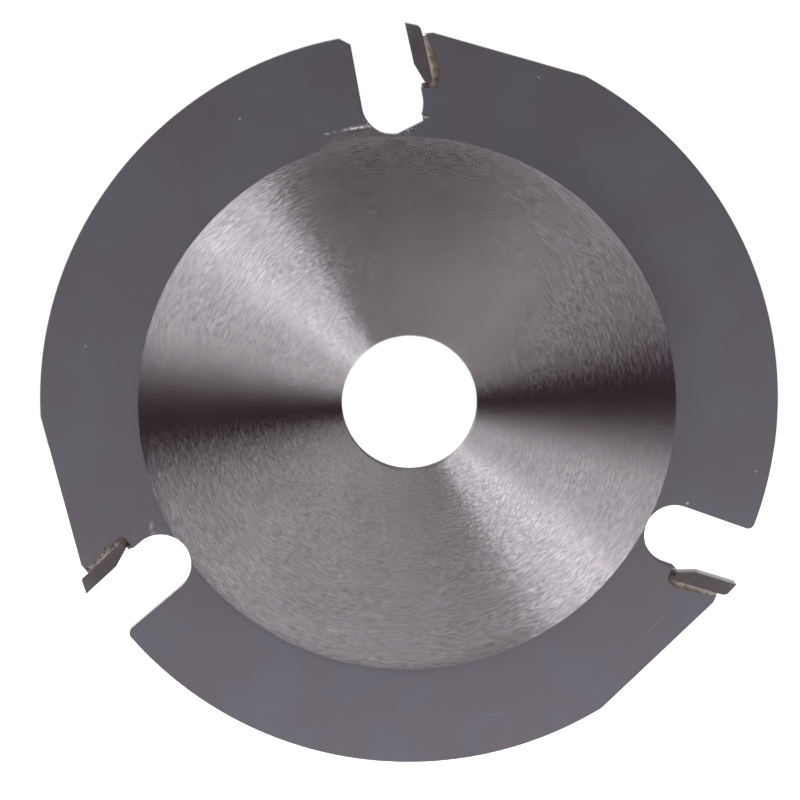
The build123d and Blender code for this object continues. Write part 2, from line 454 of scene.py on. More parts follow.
def slab(outer, holes, round_radius, half_width, rings, extra):
    """A plate-like shell: each outline carried round an edge profile, and two triangulated
    faces at plus and minus half_width, a function of plane points."""
    points, faces, loops, start = [], [], [], 0
    for loop in [outer, *holes]:
        grid = edge_rows(loop, round_radius, half_width)
        loops.append(grid[0][:, [0, 2]])
        points.append(grid.reshape(-1, 3))
        faces.extend(grid_faces(*grid.shape[:2], start))
        start += grid.shape[0] * grid.shape[1]
    plane, triangles = cap(loops[0], loops[1:], rings, extra)
    width = half_width(plane)
    for side in (-1, 1):
        points.append(np.stack([plane[:, 0], side * width, plane[:, 1]], axis=1))
        faces.extend(triangles + start)
        start += len(plane)
    return np.concatenate(points), faces


def object_from(name, points, faces, materials, index=None, attributes=None):
    """A mesh object at the origin, its doubles merged and its faces turned outwards. index
    gives each face's material, or is a function of the faces' centres and normals."""
    mesh = bpy.data.meshes.new(name)
    mesh.from_pydata(np.asarray(points).tolist(), [], [list(map(int, f)) for f in faces])
    for title, values in (attributes or {}).items():
        mesh.attributes.new(title, "FLOAT", "POINT").data.foreach_set("value", values)
    shape = bmesh.new()
    shape.from_mesh(mesh)
    bmesh.ops.remove_doubles(shape, verts=shape.verts, dist=2e-7)
    bmesh.ops.recalc_face_normals(shape, faces=shape.faces)
    shape.to_mesh(mesh)
    shape.free()
    for material in materials:
        mesh.materials.append(material)
    count = len(mesh.polygons)
    if index is not None:
        centre, normal = np.empty(count * 3), np.empty(count * 3)
        mesh.polygons.foreach_get("center", centre)
        mesh.polygons.foreach_get("normal", normal)
        slots = index(centre.reshape(-1, 3), normal.reshape(-1, 3))
        mesh.polygons.foreach_set("material_index", np.asarray(slots, np.int32))
    mesh.shade_smooth()
    mesh.set_sharp_from_angle(angle=math.radians(32))
    mesh.update()
    piece = bpy.data.objects.new(name, mesh)
    bpy.context.scene.collection.objects.link(piece)
    return piece


def replace_node(piece, node):
    """The piece rides with the disc and stands for a CAD node, which is hidden."""
    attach(piece, "root")
    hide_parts(node)


def seat_path(size, spacing):
    """The middle line of the filler in the first tooth, from the land's corner down behind
    the tip, round the seat's corner and under the tip to the ledge, as an open path."""
    tooth = Tooth(size)
    back = size.tip_thickness + size.braze_gap / 2
    floor = size.tip_length + size.floor_gap / 2
    _, ledge_back = tooth.depths(tooth.ledge)
    top, _ = tooth.depths(tooth.seat_top)
    start = tooth.point(top - 0.12 * MM, back)
    corner, end = tooth.point(floor, back), tooth.point(floor, ledge_back + 0.12 * MM)
    path = np.concatenate([start[None], rounded_corner(start, corner, end, 0.45 * MM, 8), end[None]])
    length = np.concatenate([[0], np.cumsum(np.hypot(*np.diff(path, axis=0).T))])
    count = int(length[-1] / spacing) + 1
    places = np.linspace(0, length[-1], count)
    return np.stack([np.interp(places, length, path[:, i]) for i in (0, 1)], axis=1), places


def near_path(points, path):
    """Each plane point's distance from the nearest point of a path."""
    return np.linalg.norm(points[:, None] - path[None], axis=2).min(axis=1)


def burr_line(points, seed):
    """How high a burr stands at plane points, from 0 to 1: a thin ridge that runs from the
    first gullet away along a circle, and fades and breaks up as it goes."""
    radius, angle = np.hypot(*points.T), angles(points)
    line = 46.02 * MM + 0.12 * MM * np.sin(np.radians(angle - 98) * 9)
    across = np.exp(-((radius - line) / (0.16 * MM)) ** 2)
    along = np.clip((104.2 - angle) / 4.5, 0, 1) ** 0.6
    broken = np.clip(0.75 + 0.6 * waves(points, seed + 1, 0.9 * MM), 0, 1)
    bits = np.clip(1.6 * waves(points, seed + 5, 1.1 * MM) - 0.5, 0, 0.4)
    bits *= np.clip((110 - angle) / 3, 0, 1)
    return across * np.maximum(along * broken, bits) * np.clip(angle - 97, 0, 1)


def plate_lines(size, outer):
    """Open chains that the plate's faces keep as edges: both sides of the ground ring's
    slope where it lies inside the outline, and the end of its steel beside the gullet."""
    offset = np.array(size.ring_offset)
    lines = []
    for radius in size.ring_radius + np.array([0, -0.3]) * MM:
        ring = arc(offset, radius, 0, 360, 0.4 * MM)
        ring = ring[inside(ring, outer) & clear_of(ring, outer, 0.06 * MM)]
        breaks = np.flatnonzero(np.linalg.norm(np.diff(ring, axis=0), axis=1) > 0.6 * MM) + 1
        lines += np.split(ring, breaks)
    turns = np.arange(TONGUE[0][0], TONGUE[0][-1], 0.4)
    tongue = polar(np.interp(turns, *TONGUE) * MM, turns)
    clear = clear_of(tongue, np.concatenate([outer, *lines]), 0.1 * MM)
    return [*lines, tongue[inside(tongue, outer) & clear]]


def plate_points(size, outer, fixed, seats):
    """Points inside the plate's faces: wide apart, finer round the seats, and finest
    under the burr, the scratch and the torn bottom of the first gullet."""
    wide = polar_grid(size.bore_radius + 1.2 * MM, size.rim_radius, 2.4 * MM, 0, 360)
    fine = [polar_grid(48 * MM, size.rim_radius, 0.6 * MM, 78 + TOOTH_PITCH * k, 98 + TOOTH_PITCH * k)
            for k in range(TOOTH_COUNT)]
    fine = np.concatenate(fine)
    fine = fine[near_path(fine, seats) < 4 * MM]
    ridge = np.concatenate([
        polar_grid(45.5 * MM, 46.7 * MM, 0.1 * MM, 97, 110, 0.25 * MM),
        polar_grid(46.5 * MM, 47.7 * MM, 0.12 * MM, 85.4, 87.6, 0.2 * MM),
        Tooth(size).gullet_centre + polar_grid(5.25 * MM, 5.9 * MM, 0.15 * MM, -150, -45, 0.2 * MM)])
    ridge = ridge[inside(ridge, outer) & clear_of(ridge, fixed, 0.12 * MM)]
    fine = fine[inside(fine, outer) & clear_of(fine, fixed, 0.3 * MM)]
    wide = wide[inside(wide, outer) & clear_of(wide, fixed, 0.8 * MM)]
    wide = wide[clear_of(wide, np.concatenate([ridge, fine]), 0.8 * MM)]
    return np.concatenate([wide, fine, ridge])


def plate_marks(size, plane, front, seats):
    """Marks at plane points, each from 0 to 1 or so: the burr, the scratch, heat that falls
    off from the filler, the torn edge of the first gullet, and a band of painted shade by the ring."""
    burr = np.zeros(len(plane))
    burr[front] = burr_line(plane[front], size.mark_seed)
    from_scratch = plane - np.array(SCRATCH_PLACE) * MM
    scratch = np.exp(-(from_scratch[:, 0] / (0.5 * MM)) ** 2 - (from_scratch[:, 1] / (0.13 * MM)) ** 2)
    heat = np.exp(-(near_path(plane, seats) / (1.3 * MM)) ** 2)
    from_gullet = plane - Tooth(size).gullet_centre
    depth = np.hypot(*from_gullet.T) - size.gullet_radius
    torn = np.exp(-(depth / (0.45 * MM)) ** 2) * np.clip(1.8 - np.abs(angles(from_gullet) + 95) / 38, 0, 1)
    from_ring = np.hypot(*(plane - np.array(size.ring_offset)).T) - size.ring_radius
    # Painted shade: a dim band just outside the ring, strongest towards the upper right
    painted_shade_band = np.clip(1 - from_ring / (6.5 * MM), 0, 1) ** 1.3
    painted_shade_band *= np.clip(1.5 - np.abs(angles(plane) - 38) / 42, 0, 1)
    return burr, np.where(front, scratch, 0), heat, np.where(front, torn, 0), painted_shade_band


def build_plate(size, materials):
    """The plate: a slab with the ground ring's shallow drop, the burr and the scratch. The
    mesh's attributes heat, bare, torn and painted_shade_band steer the satin steel; the last paints shade."""
    outline = plate_outline(size)
    half = size.plate_thickness / 2
    offset = np.array(size.ring_offset)

    def half_width(points):
        distance = np.hypot(*(points - offset).T)
        return half - size.ring_depth * np.clip((size.ring_radius - distance) / size.ring_step, 0, 1)

    bore = arc(np.zeros(2), size.bore_radius, 360, 0, 0.4 * MM)[:-1]
    outer = inset(outline, 1.5 * size.edge_round)
    lines = plate_lines(size, outer)
    path, _ = seat_path(size, 0.5 * MM)
    seats = np.concatenate([turned(path, TOOTH_PITCH * k) for k in range(TOOTH_COUNT)])
    fixed = np.concatenate([outer, bore, *lines])
    points, faces = slab(outline, [bore], size.edge_round, half_width, lines,
                         plate_points(size, outer, fixed, seats))

    front = points[:, 1] < -0.8 * half
    burr, scratch, heat, torn, painted_shade_band = plate_marks(size, points[:, [0, 2]], front, seats)
    points[:, 1] -= BURR_HEIGHT * MM * burr
    points[:, 1] -= SCRATCH_HEIGHT * MM * scratch
    bare = np.clip(burr + 0.45 * scratch, 0, 1)

    def slots(centre, normal):
        facing = np.abs(normal[:, 1]) > 0.9
        plane = centre[:, [0, 2]]
        ring = np.hypot(*(plane - offset).T) < size.ring_radius - 0.04 * MM
        tongue = np.interp(angles(plane), *TONGUE, left=0, right=0) * MM
        ring |= (np.hypot(*plane.T) < tongue) & (normal[:, 1] < 0)
        return np.where(ring & facing, 0, np.where(facing, 1, 2))

    piece = object_from("plate", points, faces, materials, slots,
                        {"heat": heat, "bare": bare, "torn": torn, "painted_shade_band": painted_shade_band})
    replace_node(piece, "blade_body")


def polar_grid(inner, outer, spacing, start, end, along=None):
    """Points on circles about the bore axis, spacing apart, between two angles."""
    return np.concatenate([arc(np.zeros(2), radius, start, end, along or spacing)[:-1]
                           for radius in np.arange(inner, outer, spacing)])


def build_tip(size, index, materials):
    """A carbide tip: its side profile as a slab, a little narrower inwards and backwards,
    turned to its tooth. Rake, bevel, back and top faces are ground, the sides left dull."""
    tooth = Tooth(size)
    heel = HEEL_ROUNDING[index] * MM
    cutting, bevel = tooth.point(0, 0), tooth.point(size.bevel_start, 0)
    inner = tooth.point(size.tip_length, tooth.bevel_drop)
    inner_back = tooth.point(size.tip_length, size.tip_thickness)
    outer_back = tooth.point(tooth.outer_drop, size.tip_thickness)
    profile = np.concatenate([
        cutting[None],
        rounded_corner(cutting, bevel, inner, 0.3 * MM, 4),
        rounded_corner(bevel, inner, inner_back, 0.5 * MM),
        rounded_corner(inner, inner_back, outer_back, 0.2 * MM, 4),
        rounded_corner(inner_back, outer_back, cutting, heel, 10)])
    profile = filled(profile, 0.3 * MM)

    def half_width(points):
        inward, back = tooth.depths(points)
        return size.tip_width / 2 - 0.012 * np.maximum(inward, 0) - 0.035 * np.maximum(back, 0)

    inward, back = np.meshgrid(np.arange(0.5, 10, 0.5), np.arange(0.4, 2.2, 0.45))
    inner_points = tooth.point(inward.ravel() * MM, back.ravel() * MM)
    round_radius = 0.06 * MM
    border = inset(profile, 1.5 * round_radius)
    kept = inside(inner_points, border) & clear_of(inner_points, border, 0.15 * MM)
    points, faces = slab(profile, [], round_radius, half_width, [], inner_points[kept])
    depth_in, depth_back = tooth.depths(points[:, [0, 2]])
    stain = np.clip((depth_back / size.tip_thickness - 0.35) * 1.6, 0, 1)
    stain *= np.clip(depth_in / (2 * MM) - 0.6, 0, 1)
    stain = np.maximum(stain, np.clip((depth_in - 8.9 * MM) / (1.2 * MM), 0, 1))
    # The sides grow paler towards the cutting edge
    pale_near_edge = np.clip(1 - depth_in / (3.5 * MM), 0, 1)
    points[:, [0, 2]] = turned(points[:, [0, 2]], TOOTH_PITCH * index)
    piece = object_from("tip_%d" % (index + 1), points, faces, materials,
                        lambda centre, normal: np.where(np.abs(normal[:, 1]) > 0.25, 0, 1),
                        {"stain": stain, "pale_near_edge": pale_near_edge})
    replace_node(piece, "carbide_tip_%d" % (index + 1))


def build_braze(size, index, materials):
    """The filler of one tooth. Its section is a web as thick as the plate with a bead on
    each face that leans on the tip and curves down to the plate; it runs along the seat
    path, swells towards the middle of the tip's back, and closes in a point at each end."""
    path, places = seat_path(size, 0.1 * MM)
    total = places[-1]
    along = places / total
    step = np.gradient(path, axis=0)
    step /= np.hypot(*step.T)[:, None]
    away = np.stack([-step[:, 1], step[:, 0]], axis=1)
    half_gap, half_plate = size.braze_gap / 2, size.plate_thickness / 2
    seed = size.mark_seed + 10 * index
    bell = np.interp(along, *np.transpose(BEAD_SWELL))
    ragged = 1 + 0.12 * waves(path, seed + 6, 2.4 * MM) + 0.04 * waves(path, seed + 7, 1.0 * MM)
    width = 0.1 * MM + size.bead_width * BRAZE_WIDTH[index] * bell * ragged
    height = 0.2 * MM + (size.bead_height - 0.2 * MM) * bell ** 0.6

    t = np.linspace(0, 1, 12)
    bead_out, bead_up = np.sin(t * math.pi / 2) ** 1.15, np.cos(t * math.pi / 2) ** 0.9
    embed = 0.05 * MM
    u_front = -half_gap - embed + (width[:, None] + 2 * half_gap + embed) * bead_out
    y_front = -(half_plate - 0.04 * MM) - (height[:, None] + 0.04 * MM) * bead_up
    web_u = (half_gap + embed) * np.ones((len(path), 2))
    web_y = np.array([-1, 1]) * (half_plate - 0.15 * MM) * np.ones((len(path), 1))
    side_u = -(half_gap + embed) * np.ones((len(path), 3))
    side_y = np.array([1, 0, -1]) * (half_plate * 0.8) * np.ones((len(path), 1))
    u = np.concatenate([u_front, web_u, u_front[:, ::-1], side_u], axis=1)
    y = np.concatenate([y_front, web_y, -y_front[:, ::-1], side_y], axis=1)
    ends = np.minimum(places, total - places)
    swell = np.sqrt(np.clip(1 - (1 - np.clip(ends / (0.35 * MM), 0, 1)) ** 2, 0, 1))[:, None]
    u, y = u * swell, y * (0.15 + 0.85 * swell) * (swell > 0)
    plane = path[:, None] + away[:, None] * u[..., None]
    points = np.stack([plane[..., 0], y, plane[..., 1]], axis=-1)
    across = np.concatenate([t, [1, 1], t[::-1], [0, 0, 0]]) * np.ones((len(path), 1))

    rough = BRAZE_ROUGHNESS[index] * MM
    lumps = waves(points, seed + 3, 1.6 * MM) + 0.25 * waves(points, seed + 4, 0.6 * MM)
    on_bead = (np.abs(y) > half_plate * 0.95) & (across > 0.02)
    outwards = np.stack([away[:, None, 0] * across, np.sign(y) * (1.2 - across),
                         away[:, None, 1] * across], axis=-1)
    points = points + outwards * (lumps * rough * on_bead * swell)[..., None]
    points[..., [0, 2]] = turned(points[..., [0, 2]].reshape(-1, 2),
                                 TOOTH_PITCH * index).reshape(*y.shape, 2)
    rows, columns = y.shape
    along_all = np.repeat(along, columns)
    values = {"across": across.ravel(), "along": along_all, "lump": (lumps * 0.5 + 0.5).ravel()}
    piece = object_from("braze_%d" % (index + 1), points.reshape(-1, 3),
                        grid_faces(rows, columns), materials, None, values)
    replace_node(piece, "braze_joint_%d" % (index + 1))


# ---------------------------------------------------------------- materials

class Nodes:
    """Adds nodes to one tree. Every method but put and node gives the new node's output."""

    def __init__(self, tree):
        self.tree = tree

    def put(self, socket, value):
        """Links an output to a socket, or sets the socket's own value."""
        if isinstance(value, bpy.types.NodeSocket):
            self.tree.links.new(value, socket)
        else:
            socket.default_value = value

    def node(self, kind, **values):
        """A shader node with its attributes and inputs set. An input's key is its name with
        underscores for spaces, or its number after an i."""
        made = self.tree.nodes.new("ShaderNode" + kind)
        for key, value in values.items():
            if hasattr(made, key):
                setattr(made, key, value)
            elif key[0] == "i" and key[1:].isdigit():
                self.put(made.inputs[int(key[1:])], value)
            else:
                self.put(made.inputs[key.replace("_", " ")], value)
        return made

    def math(self, operation, a, b=0.0, clamp=False):
        """The result of one Math node."""
        return self.node("Math", operation=operation, use_clamp=clamp, i0=a, i1=b).outputs[0]

    def plus(self, a, b, clamp=False):
        """The sum of two values."""
        return self.math("ADD", a, b, clamp)

    def times(self, a, b):
        """The product of two values."""
        return self.math("MULTIPLY", a, b)

    def larger(self, first, *others):
        """The largest of some values."""
        for other in others:
            first = self.math("MAXIMUM", first, other)
        return first

    def vector(self, operation, a, b=(0, 0, 0), output=0, **inputs):
        """The result of one Vector Math node."""
        return self.node("VectorMath", operation=operation, i0=a, i1=b, **inputs).outputs[output]

    def scaled(self, vector, factor):
        """A vector or a colour times a value."""
        return self.vector("SCALE", vector, Scale=factor)

    def spread(self, value, low, high, to_low=0.0, to_high=1.0):
        """A value mapped from one range to another and held inside it."""
        return self.node("MapRange", i0=value, i1=low, i2=high, i3=to_low, i4=to_high).outputs[0]

    def mix(self, factor, a, b):
        """A mix of two colours."""
        made = self.node("Mix", data_type="RGBA", i0=factor)
        for socket, value in ((made.inputs[6], a), (made.inputs[7], b)):
            self.put(socket, value if isinstance(value, bpy.types.NodeSocket) else (*value, 1))
        return made.outputs[2]

    def place(self):
        """The Object coordinates."""
        return self.node("TexCoord").outputs["Object"]

    def attribute(self, name):
        """The value of one of the mesh's own attributes."""
        return self.node("Attribute", attribute_name=name).outputs["Fac"]

    def shared(self, name, **inputs):
        """The outputs of a shared shader group, which is built on its first use."""
        group = bpy.data.node_groups.get(name) or SHARED_GROUPS[name](name)
        return self.node("Group", node_tree=group, **inputs).outputs


def new_material(name):
    """A material, its nodes and its Principled shader."""
    material = bpy.data.materials.new(name)
    material.use_nodes = True
    return material, Nodes(material.node_tree), material.node_tree.nodes["Principled BSDF"]


def new_group(name, inputs, outputs):
    """A shader group's nodes, inputs and outputs. inputs gives each title its default, a
    triple for a vector, and outputs gives each title its kind."""
    group = bpy.data.node_groups.new(name, "ShaderNodeTree")
    for title, default in inputs.items():
        kind = "NodeSocketVector" if isinstance(default, tuple) else "NodeSocketFloat"
        socket = group.interface.new_socket(title, in_out="INPUT", socket_type=kind)
        socket.default_value = default
    for title, kind in outputs.items():
        group.interface.new_socket(title, in_out="OUTPUT", socket_type="NodeSocket" + kind)
    entry, result = group.nodes.new("NodeGroupInput"), group.nodes.new("NodeGroupOutput")
    return Nodes(group), entry.outputs, result.inputs


def ring_streaks_group(name):
    """Grinding streaks: short arcs round a centre. Noise is read at (cos a, sin a) times a
    count per radian and at the radius times a count per metre, so each streak is long round
    the centre and thin across it, with no seam. Outward is the direction away from the
    centre, turned a little to each side by the streaks."""
    add, entry, result = new_group(
        name, {"Centre": (0, 0, 0), "Along": 25.0, "Across": 4000.0, "Waver": 0.1},
        {"Coarse": "Float", "Fine": "Float", "Outward": "Vector"})
    place = add.place()
    flat = add.vector("MULTIPLY", add.vector("SUBTRACT", place, entry["Centre"]), (1, 0, 1))
    outward = add.vector("NORMALIZE", flat)
    across = add.times(add.vector("LENGTH", flat, output="Value"), entry["Across"])
    side = add.node("SeparateXYZ", i0=place).outputs[1]
    lifted = add.plus(across, add.times(add.math("SIGN", side), 40.0))
    lifted = add.node("CombineXYZ", i0=0.0, i1=lifted, i2=0.0).outputs[0]
    coordinates = add.vector("ADD", add.scaled(outward, entry["Along"]), lifted)
    streaks = [add.node("TexNoise", Vector=coordinates, Scale=scale, Detail=1.0, Roughness=0.6).outputs[0]
               for scale in (1.0, 1.6)]
    around = add.vector("CROSS_PRODUCT", outward, (0, 1, 0))
    turn = add.times(add.math("SUBTRACT", add.plus(*streaks), 1.0), entry["Waver"])
    add.put(result["Coarse"], streaks[0])
    add.put(result["Fine"], streaks[1])
    add.put(result["Outward"], add.vector("ADD", outward, add.scaled(around, turn)))
    return add.tree


def mottle_group(name):
    """Soft cloudy variation and fine grain, as two values about 0.5."""
    add, entry, result = new_group(name, {"Cloud scale": 90.0, "Grain scale": 6000.0},
                                   {"Cloud": "Float", "Grain": "Float"})
    place = add.place()
    for title, detail in (("Cloud", 3.0), ("Grain", 2.0)):
        noise = add.node("TexNoise", Vector=place, Detail=detail, Roughness=0.55,
                         Scale=entry[title + " scale"])
        add.put(result[title], noise.outputs[0])
    return add.tree


def specks_group(name):
    """Sparse bright pinpricks: near the centre of a few seeded cells, 1, elsewhere 0."""
    add, entry, result = new_group(name, {"Scale": 260.0, "Size": 0.05, "Share": 0.08},
                                   {"Mask": "Float"})
    cells = add.node("TexVoronoi", Vector=add.place(), Scale=entry["Scale"]).outputs
    chance = add.node("SeparateColor", i0=cells["Color"]).outputs[0]
    chosen = add.math("LESS_THAN", chance, entry["Share"])
    near = add.math("LESS_THAN", cells["Distance"], entry["Size"])
    add.put(result["Mask"], add.times(chosen, near))
    return add.tree


SHARED_GROUPS = {"Ring streaks": ring_streaks_group, "Mottle": mottle_group, "Specks": specks_group}


def spots(add, table):
    """A mask of soft oval spots, strongest on the front face, from rows of place, tilt,
    size and strength."""
    place = add.place()
    mask = 0.0
    for x, z, tilt, long, thin, strength in table:
        spot = add.node("Mapping", vector_type="TEXTURE", Vector=place,
                        Location=(x * MM, -MM, z * MM), Rotation=(0, -math.radians(tilt), 0),
                        Scale=(long * MM, 3 * MM, thin * MM)).outputs[0]
        away = add.vector("LENGTH", spot, output="Value")
        mask = add.larger(mask, add.spread(away, 1.0, 0.3, 0.0, strength))
    return mask


def ring_material(size, finish):
    """Steel ground in rings: anisotropic, its highlights spread outwards from the centre."""
    material, add, shader = new_material("ring_ground_steel")
    centre = (size.ring_offset[0], 0, size.ring_offset[1])
    lines = add.shared("Ring streaks", Centre=centre, Along=32.0, Across=4200.0, Waver=0.12)
    cloud = add.shared("Mottle", Cloud_scale=140.0, Grain_scale=5000.0)["Cloud"]
    tone = add.plus(add.spread(lines["Coarse"], 0.2, 0.8, 0.88, 1.12),
                    add.spread(lines["Fine"], 0.2, 0.8, -0.1, 0.1))
    tone = add.times(tone, add.spread(cloud, 0.3, 0.7, 0.96, 1.04))
    # Painted shade: the ground ring's colour darkens in a soft patch
    tone = add.times(tone, add.math("SUBTRACT", 1.0, spots(add, RING_PAINTED_SHADE)))
    tint = add.mix(add.spread(cloud, 0.42, 0.58), finish.ring_steel, finish.ring_steel_cool)
    marks = add.shared("Specks", Scale=330.0, Size=0.05, Share=0.05)[0]
    shade = add.mix(add.times(marks, 0.5), add.scaled(tint, tone), finish.bright_steel)
    add.put(shader.inputs["Base Color"], shade)
    shader.inputs["Metallic"].default_value = 1.0
    shader.inputs["Anisotropic"].default_value = 1.0
    add.put(shader.inputs["Roughness"], add.spread(lines["Coarse"], 0.3, 0.7, 0.225, 0.255))
    bump = add.node("Bump", Strength=0.1, Distance=0.00002, Height=lines["Fine"])
    add.put(shader.inputs["Normal"], bump.outputs[0])
    add.put(shader.inputs["Tangent"], lines["Outward"])
    return material


def grained_material(name, scales, ranges, roughness, bump, metallic=1.0):
    """A finish with soft clouds and fine grain. ranges says how far each moves the tone from
    1, and bump gives the grain's strength and height. Gives the material, its nodes, its
    base colour's socket, the cloud value and the tone."""
    material, add, shader = new_material(name)
    clouds = add.shared("Mottle", Cloud_scale=scales[0], Grain_scale=scales[1])
    cloud, grain = clouds["Cloud"], clouds["Grain"]
    tone = add.times(add.spread(cloud, 0.3, 0.7, 1 - ranges[0], 1 + ranges[0]),
                     add.spread(grain, 0.2, 0.8, 1 - ranges[1], 1 + ranges[1]))
    shader.inputs["Metallic"].default_value = metallic
    add.put(shader.inputs["Roughness"], add.spread(grain, 0.2, 0.8, *roughness))
    bumps = add.node("Bump", Strength=bump[0], Distance=bump[1], Height=grain)
    add.put(shader.inputs["Normal"], bumps.outputs[0])
    return material, add, shader.inputs["Base Color"], cloud, tone


def satin_material(finish):
    """Grey satin steel outside the ring: soft clouds, fine grain, a few bright pinpricks,
    a heat tint round the filler, torn bright metal on the burrs, painted light and a band of painted
    shade."""
    material, add, base, cloud, tone = grained_material(
        "satin_steel", (70.0, 9000.0), (0.05, 0.06), (0.47, 0.55), (0.2, 0.00001))
    tint = add.mix(add.spread(cloud, 0.42, 0.58), finish.satin_steel, finish.satin_steel_cool)
    # Painted light: the satin colour pales towards the bottom and the right
    painted_slope = add.vector("DOT_PRODUCT", add.place(), finish.satin_painted_light, output="Value")
    shade = add.scaled(tint, add.times(tone, add.plus(painted_slope, 1.02)))
    heat = add.times(add.attribute("heat"), add.spread(cloud, 0.4, 0.6, 0.5, 1.0))
    shade = add.mix(add.times(heat, 0.55), shade, finish.heat_tint)
    # Painted shade: the satin darkens in the band by the ring
    shade = add.scaled(shade, add.plus(add.times(add.attribute("painted_shade_band"), -0.2), 1.0))
    marks = add.shared("Specks", Scale=240.0, Size=0.035, Share=0.10)[0]
    grit = add.shared("Mottle", Cloud_scale=2700.0, Grain_scale=9000.0)["Cloud"]
    torn = add.attribute("torn")
    bright = add.larger(add.times(marks, 0.6), add.attribute("bare"), spots(add, SCUFFS),
                        add.times(torn, add.spread(grit, 0.51, 0.58)))
    dark = add.larger(spots(add, PITS), add.times(torn, add.spread(grit, 0.46, 0.36, 0.0, 0.8)))
    shade = add.mix(bright, shade, finish.bright_steel)
    add.put(base, add.mix(dark, shade, finish.flux))
    return material


def carbide_side_material(finish):
    """Dull sintered carbide: fine pores, and a warm stain towards the filler."""
    material, add, base, cloud, tone = grained_material(
        "carbide_side", (700.0, 14000.0), (0.12, 0.1), (0.42, 0.56), (0.25, 0.00001), metallic=0.85)
    stain = add.times(add.attribute("stain"), add.spread(cloud, 0.35, 0.65, 0.2, 1.0))
    # The sides are paler towards the cutting edge
    tone = add.times(tone, add.spread(add.attribute("pale_near_edge"), 0, 1, 0.92, 1.2))
    add.put(base, add.scaled(add.mix(stain, finish.carbide, finish.carbide_stain), tone))
    return material


def carbide_ground_material(finish):
    """Carbide ground with a fine wheel: pale and nearly polished, with fine grain."""
    material, add, base, _, tone = grained_material(
        "carbide_ground", (500.0, 16000.0), (0.06, 0.07), (0.20, 0.30), (0.15, 0.00001))
    add.put(base, add.scaled(finish.ground_carbide, tone))
    return material


def cut_material(finish):
    """Sheared walls of the rim, the gullets and the bore."""
    material, add, base, _, tone = grained_material(
        "cut_steel", (600.0, 7000.0), (0.2, 0.15), (0.38, 0.55), (0.3, 0.00002))
    add.put(base, add.scaled(finish.cut_steel, tone))
    return material


def braze_material(index, finish, silver, flux, tone):
    """Solidified filler: pale where it leans on the tip, brass over its crest, brown at its
    foot, red-brown near the seat's corner, with burnt flux in its pits. silver moves the
    whole bead from brass to pale, flux spreads the burnt flux, tone scales the colours."""
    material, add, shader = new_material("braze_filler_%d" % (index + 1))
    clouds = add.shared("Mottle", Cloud_scale=1100.0, Grain_scale=7000.0)
    cloud, grain = clouds["Cloud"], clouds["Grain"]
    across, along, lump = (add.attribute(name) for name in ("across", "along", "lump"))
    pale = add.plus(add.spread(across, 0.16, 0.40, 1.0, 0.0),
                    add.spread(cloud, 0.45, 0.7, -0.15, 0.25), clamp=True)
    pale = add.larger(pale, add.times(silver, add.spread(cloud, 0.35, 0.6)),
                      add.spread(along, 0.955, 0.975), add.spread(along, 0.34, 0.16, 0.0, 0.8))
    shade = add.mix(pale, finish.braze, finish.braze_pale)
    red = add.times(add.spread(along, 0.62, 0.80), add.spread(along, 0.95, 0.90))
    shade = add.mix(add.times(red, 0.75), shade, finish.braze_red)
    foot = add.plus(add.spread(across, 0.80, 1.0), add.spread(cloud, 0.3, 0.7, 0.2, -0.3), clamp=True)
    shade = add.mix(add.times(foot, 0.15 + 0.7 * flux), shade, finish.flux)
    pits = add.larger(
        add.times(add.spread(cloud, 0.66 - 0.1 * flux, 0.70 - 0.1 * flux),
                  add.spread(across, 0.55 - 0.4 * flux, 0.80 - 0.4 * flux)),
        add.times(add.spread(across, 0.16, 0.06, 0.0, flux), add.spread(cloud, 0.42, 0.55)),
        add.times(add.spread(lump, 0.1, 0.0), add.spread(grain, 0.45, 0.6)),
        add.times(add.spread(along, 0.85, 0.87), add.spread(along, 0.95, 0.93)),
        add.times(add.spread(along, 0.72, 0.84), add.spread(cloud, 0.56, 0.62)))
    shade = add.scaled(add.mix(pits, shade, finish.flux),
                       add.spread(grain, 0.2, 0.8, 0.82 * tone, 1.18 * tone))
    add.put(shader.inputs["Base Color"], shade)
    add.put(shader.inputs["Metallic"], add.spread(pits, 0.0, 1.0, 0.6, 0.1))
    add.put(shader.inputs["Roughness"], add.spread(grain, 0.2, 0.8, 0.50, 0.66))
    bump = add.node("Bump", Strength=0.5, Distance=0.00005, Height=add.plus(cloud, add.times(grain, 0.3)))
    add.put(shader.inputs["Normal"], bump.outputs[0])
    return material


# ---------------------------------------------------------------- operators

class DISC_OT_plate(bpy.types.Operator):
    """Build the steel plate"""

    bl_idname = "carving_disc.plate"
    bl_label = "Plate"

    def execute(self, context):
        size, finish = context.scene.disc_size, context.scene.disc_finish
        build_plate(size, [ring_material(size, finish), satin_material(finish), cut_material(finish)])
        return {"FINISHED"}


class DISC_OT_tips(bpy.types.Operator):
    """Build the three carbide tips"""

    bl_idname = "carving_disc.tips"
    bl_label = "Carbide tips"

    def execute(self, context):
        size, finish = context.scene.disc_size, context.scene.disc_finish
        materials = [carbide_side_material(finish), carbide_ground_material(finish)]
        for index in range(TOOTH_COUNT):
            build_tip(size, index, materials)
        return {"FINISHED"}


class DISC_OT_braze(bpy.types.Operator):
    """Build the solidified filler behind and under each tip"""

    bl_idname = "carving_disc.braze"
    bl_label = "Braze"

    def execute(self, context):
        size, finish = context.scene.disc_size, context.scene.disc_finish
        for index, look in enumerate(BRAZE_LOOK):
            build_braze(size, index, [braze_material(index, finish, *look)])
        return {"FINISHED"}


class DISC_OT_stage(bpy.types.Operator):
    """Set up the floor, the lights and the camera"""

    bl_idname = "carving_disc.stage"
    bl_label = "Stage"

    def execute(self, context):
        studio, finish = context.scene.disc_studio, context.scene.disc_finish
        build_floor(studio, finish)
        build_room(studio)
        build_overhead(studio)
        build_camera(studio, context.scene.disc_size)
        return {"FINISHED"}


